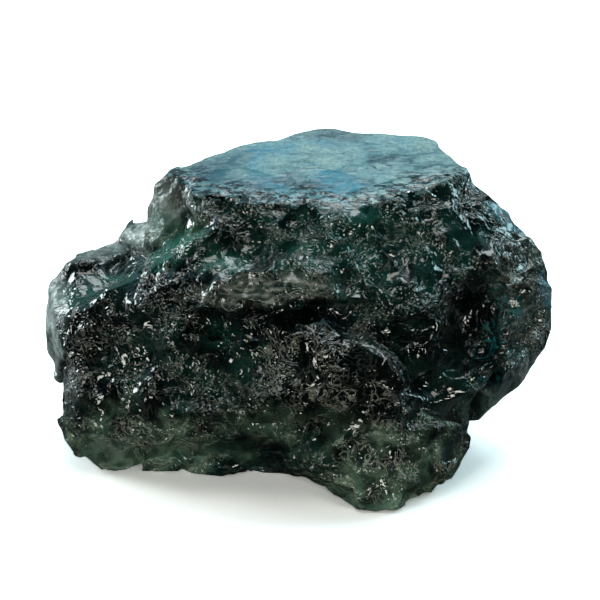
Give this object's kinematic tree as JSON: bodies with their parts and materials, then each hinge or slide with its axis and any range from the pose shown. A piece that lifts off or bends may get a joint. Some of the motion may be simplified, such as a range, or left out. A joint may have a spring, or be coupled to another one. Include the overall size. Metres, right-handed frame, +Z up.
{
  "type": "rough sapphire",
  "caption": "Rough blue-green sapphire crystal, broken all round, with a flat crystal face on top and a hackly, glinting broken face in front.",
  "frame": {"origin": "under the middle of the stone, on the surface that it lies on", "axes": "+Z up, square to the flat crystal face; +X along the stone's length, towards its pointed end; -Y towards the broad broken face"},
  "size_m": [0.016, 0.0102, 0.0085],
  "materials": {
    "sapphire": "dark blue-green translucent crystal, satin on the flat crystal face and finely broken and glossy elsewhere"
  },
  "bodies": {
    "root": {"sapphire": "sapphire"}
  },
  "joints": []
}
